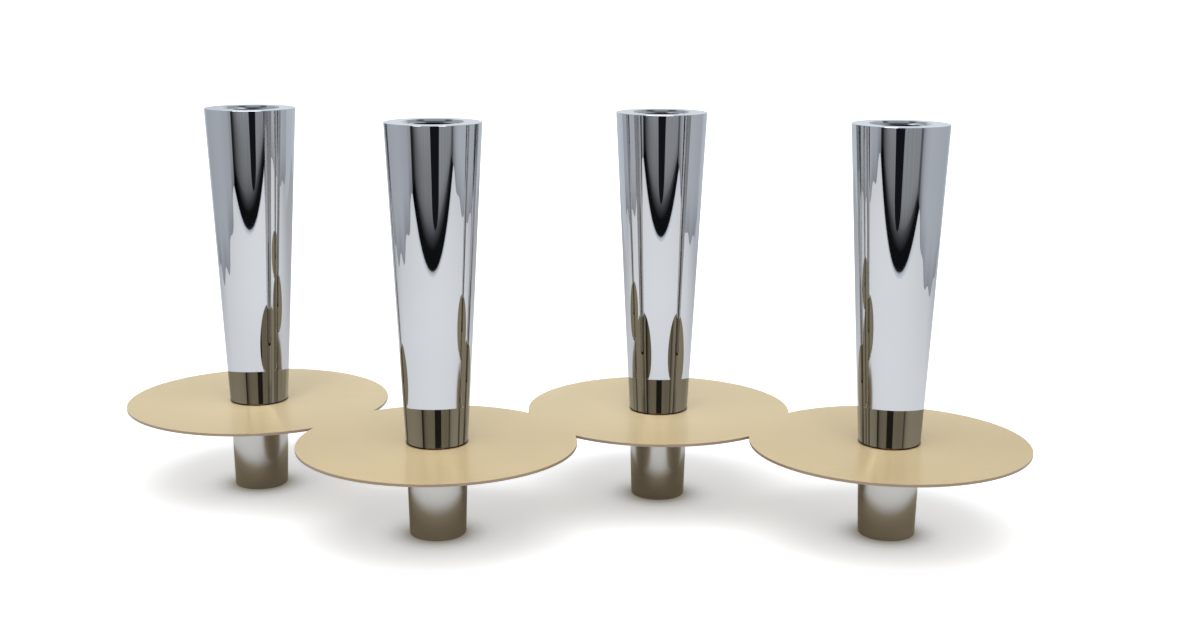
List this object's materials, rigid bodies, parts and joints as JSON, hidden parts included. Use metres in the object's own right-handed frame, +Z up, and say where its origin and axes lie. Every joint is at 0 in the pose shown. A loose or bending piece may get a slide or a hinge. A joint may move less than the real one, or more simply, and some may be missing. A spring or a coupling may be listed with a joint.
{
  "type": "taper candle holder",
  "caption": "Candle holder for tapers: tapered mirror-polished stems on a thin scalloped gold plate that joins them in a zigzag row, on short round feet.",
  "frame": {"origin": "on the table, under the centre of the plate's bounding box", "axes": "+X along the row from the first holder to the fourth, +Y from the front of the picture's view to its back, +Z up along the candles"},
  "size_m": [0.494, 0.2314, 0.217],
  "materials": {
    "plate_gold": "satin",
    "stem_chrome": "polished",
    "foot_nickel": "polished",
    "screw_steel": "satin",
    "washer_steel": "satin",
    "pad_rubber": "matte"
  },
  "bodies": {
    "root": {"plate": "plate_gold", "stem_1": "stem_chrome", "stem_2": "stem_chrome", "stem_3": "stem_chrome", "stem_4": "stem_chrome", "foot_1": "foot_nickel", "foot_2": "foot_nickel", "foot_3": "foot_nickel", "foot_4": "foot_nickel", "screw_1": "screw_steel", "screw_2": "screw_steel", "screw_3": "screw_steel", "screw_4": "screw_steel", "washer_1": "washer_steel", "washer_2": "washer_steel", "washer_3": "washer_steel", "washer_4": "washer_steel", "pad_1": "pad_rubber", "pad_2": "pad_rubber", "pad_3": "pad_rubber", "pad_4": "pad_rubber"}
  },
  "joints": []
}
